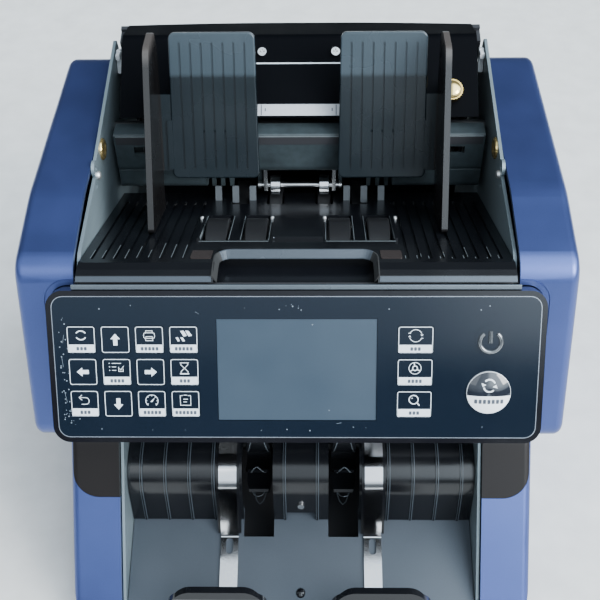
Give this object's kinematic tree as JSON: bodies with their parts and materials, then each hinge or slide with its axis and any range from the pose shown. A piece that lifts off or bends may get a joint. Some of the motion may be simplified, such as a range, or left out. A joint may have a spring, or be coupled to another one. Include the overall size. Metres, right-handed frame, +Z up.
{
  "type": "banknote counting machine",
  "caption": "Desktop banknote counting machine with a sloping hopper, sliding note guides, leaning key panel with screen and an open stacker pocket.",
  "frame": {"origin": "on the table under the middle of the machine's box", "axes": "+X to the machine's right seen from its front, +Y to its back, +Z up"},
  "size_m": [0.262, 0.2755, 0.299],
  "materials": {
    "blue_paint": "satin metallic",
    "frame_steel": "zinc plated",
    "pan_paint": "powder coat",
    "rubber": "matte",
    "black_plastic": "fine texture",
    "gloss_panel": "high gloss",
    "screen": "anti-glare",
    "circuit_board": "solder mask",
    "silver_trim": "metallic paint",
    "tray_plastic": "semi-gloss",
    "sensor_window": "tinted",
    "grey_plastic": "matte",
    "gloss_black": "gloss",
    "grey_satin": "satin",
    "polished_steel": "polished",
    "motor_steel": "plain",
    "shaft_steel": "ground",
    "belt_rubber": "matte",
    "chrome": "polished",
    "roller_rubber": "matte",
    "guide_plastic": "semi-gloss",
    "brass": "polished",
    "screw_steel": "nickel",
    "switch_red": "gloss",
    "restart_plastic": "gloss",
    "key_film": "gloss film"
  },
  "bodies": {
    "chassis": {"left_side_cover": "blue_paint", "right_side_cover": "blue_paint", "left_side_frame": "frame_steel", "right_side_frame": "frame_steel", "base_pan": "pan_paint", "rubber_feet": "rubber", "front_cheeks": "black_plastic", "panel_housing": "black_plastic", "panel_overlay": "gloss_panel", "lcd_module": "screen", "keypad_board": "circuit_board", "trim_strip": "silver_trim", "hopper_tray": "tray_plastic", "tray_sensor_windows": "sensor_window", "feed_cover": "grey_plastic", "back_wall": "black_plastic", "deflector": "gloss_black", "stacker_plate": "grey_satin", "note_stops": "gloss_black", "guide_strips": "polished_steel", "control_board": "circuit_board", "power_supply": "pan_paint", "power_inlet": "gloss_black", "drive_motor": "motor_steel", "drive_belts": "belt_rubber", "shaft_bearings": "shaft_steel", "separator_shaft": "shaft_steel", "guide_rod": "polished_steel", "frame_screws": "screw_steel"},
    "left_guide": {"left_note_guide": "guide_plastic"},
    "right_guide": {"right_note_guide": "guide_plastic"},
    "feed_rotor": {"feed_shaft": "shaft_steel", "feed_rollers": "roller_rubber"},
    "pickup_rotor": {"pickup_shaft": "shaft_steel", "pickup_rollers": "roller_rubber"},
    "stacker_rotor": {"stacker_shaft": "shaft_steel", "stacker_wheels": "gloss_black"},
    "motor_rotor": {"motor_pulley": "shaft_steel"},
    "separator_pair": {"separator_rollers": "chrome"},
    "knob": {"adjusting_knob": "brass"},
    "rear_door": {"rear_cover": "black_plastic", "rear_sensor_bar": "black_plastic"},
    "switch_rocker": {"rocker_switch": "switch_red"},
    "power_button": {"power_key": "gloss_panel"},
    "restart_button": {"restart_key": "restart_plastic"},
    "key_auto_mode_body": {"key_auto_mode": "key_film"},
    "key_up_body": {"key_up": "key_film"},
    "key_print_body": {"key_print": "key_film"},
    "key_batch_body": {"key_batch": "key_film"},
    "key_left_body": {"key_left": "key_film"},
    "key_menu_body": {"key_menu": "key_film"},
    "key_right_body": {"key_right": "key_film"},
    "key_add_body": {"key_add": "key_film"},
    "key_escape_body": {"key_escape": "key_film"},
    "key_down_body": {"key_down": "key_film"},
    "key_speed_body": {"key_speed": "key_film"},
    "key_detail_body": {"key_detail": "key_film"},
    "key_currency_body": {"key_currency": "key_film"},
    "key_mode_body": {"key_mode": "key_film"},
    "key_search_body": {"key_search": "key_film"}
  },
  "joints": [
    {"name": "right_guide_slide", "type": "slide", "parent": "chassis", "child": "right_guide", "axis": [1, 0, 0], "range_m": [-0.02, 0.022]},
    {"name": "left_guide_slide", "type": "slide", "parent": "chassis", "child": "left_guide", "axis": [1, 0, 0], "range_m": [-0.022, 0.02]},
    {"name": "feed_spin", "type": "hinge", "parent": "chassis", "child": "feed_rotor", "pos_m": [0, 0.038, 0.172], "axis": [1, 0, 0], "continuous": true},
    {"name": "pickup_spin", "type": "hinge", "parent": "chassis", "child": "pickup_rotor", "pos_m": [0, -0.0295, 0.19625], "axis": [1, 0, 0], "continuous": true},
    {"name": "stacker_spin", "type": "hinge", "parent": "chassis", "child": "stacker_rotor", "pos_m": [0, -0.034, 0.058], "axis": [1, 0, 0], "continuous": true},
    {"name": "motor_spin", "type": "hinge", "parent": "chassis", "child": "motor_rotor", "pos_m": [0, -0.04, 0.13], "axis": [1, 0, 0], "continuous": true},
    {"name": "separator_spin", "type": "hinge", "parent": "chassis", "child": "separator_pair", "pos_m": [0, 0.034, 0.203], "axis": [1, 0, 0], "continuous": true},
    {"name": "knob_turn", "type": "hinge", "parent": "chassis", "child": "knob", "pos_m": [0.08, 0.03987, 0.25727], "axis": [0, -0.6139, 0.7894], "range_deg": [-360, 360]},
    {"name": "rear_cover_hinge", "type": "hinge", "parent": "chassis", "child": "rear_door", "pos_m": [0, 0.124, 0.106], "axis": [-1, 0, 0], "range_deg": [0, 75]},
    {"name": "switch_rock", "type": "hinge", "parent": "chassis", "child": "switch_rocker", "pos_m": [-0.034, 0.131, 0.044], "axis": [0, 0, 1], "range_deg": [0, 14]},
    {"name": "power_key_press", "type": "slide", "parent": "chassis", "child": "power_button", "axis": [0, 0.8784, -0.4779], "range_m": [0, 0.0003], "stiffness_N_per_m": 4000},
    {"name": "restart_key_press", "type": "slide", "parent": "chassis", "child": "restart_button", "axis": [0, 0.8784, -0.4779], "range_m": [0, 0.0006], "stiffness_N_per_m": 2500},
    {"name": "key_auto_mode_press", "type": "slide", "parent": "chassis", "child": "key_auto_mode_body", "axis": [0, 0.8784, -0.4779], "range_m": [0, 0.0003], "stiffness_N_per_m": 4000},
    {"name": "key_up_press", "type": "slide", "parent": "chassis", "child": "key_up_body", "axis": [0, 0.8784, -0.4779], "range_m": [0, 0.0003], "stiffness_N_per_m": 4000},
    {"name": "key_print_press", "type": "slide", "parent": "chassis", "child": "key_print_body", "axis": [0, 0.8784, -0.4779], "range_m": [0, 0.0003], "stiffness_N_per_m": 4000},
    {"name": "key_batch_press", "type": "slide", "parent": "chassis", "child": "key_batch_body", "axis": [0, 0.8784, -0.4779], "range_m": [0, 0.0003], "stiffness_N_per_m": 4000},
    {"name": "key_left_press", "type": "slide", "parent": "chassis", "child": "key_left_body", "axis": [0, 0.8784, -0.4779], "range_m": [0, 0.0003], "stiffness_N_per_m": 4000},
    {"name": "key_menu_press", "type": "slide", "parent": "chassis", "child": "key_menu_body", "axis": [0, 0.8784, -0.4779], "range_m": [0, 0.0003], "stiffness_N_per_m": 4000},
    {"name": "key_right_press", "type": "slide", "parent": "chassis", "child": "key_right_body", "axis": [0, 0.8784, -0.4779], "range_m": [0, 0.0003], "stiffness_N_per_m": 4000},
    {"name": "key_add_press", "type": "slide", "parent": "chassis", "child": "key_add_body", "axis": [0, 0.8784, -0.4779], "range_m": [0, 0.0003], "stiffness_N_per_m": 4000},
    {"name": "key_escape_press", "type": "slide", "parent": "chassis", "child": "key_escape_body", "axis": [0, 0.8784, -0.4779], "range_m": [0, 0.0003], "stiffness_N_per_m": 4000},
    {"name": "key_down_press", "type": "slide", "parent": "chassis", "child": "key_down_body", "axis": [0, 0.8784, -0.4779], "range_m": [0, 0.0003], "stiffness_N_per_m": 4000},
    {"name": "key_speed_press", "type": "slide", "parent": "chassis", "child": "key_speed_body", "axis": [0, 0.8784, -0.4779], "range_m": [0, 0.0003], "stiffness_N_per_m": 4000},
    {"name": "key_detail_press", "type": "slide", "parent": "chassis", "child": "key_detail_body", "axis": [0, 0.8784, -0.4779], "range_m": [0, 0.0003], "stiffness_N_per_m": 4000},
    {"name": "key_currency_press", "type": "slide", "parent": "chassis", "child": "key_currency_body", "axis": [0, 0.8784, -0.4779], "range_m": [0, 0.0003], "stiffness_N_per_m": 4000},
    {"name": "key_mode_press", "type": "slide", "parent": "chassis", "child": "key_mode_body", "axis": [0, 0.8784, -0.4779], "range_m": [0, 0.0003], "stiffness_N_per_m": 4000},
    {"name": "key_search_press", "type": "slide", "parent": "chassis", "child": "key_search_body", "axis": [0, 0.8784, -0.4779], "range_m": [0, 0.0003], "stiffness_N_per_m": 4000}
  ],
  "couplings": [
    {"joint": "left_guide_slide", "follows": "right_guide_slide", "ratio": -1},
    {"joint": "pickup_spin", "follows": "feed_spin", "ratio": 1},
    {"joint": "stacker_spin", "follows": "feed_spin", "ratio": 1},
    {"joint": "motor_spin", "follows": "feed_spin", "ratio": 1.5}
  ]
}
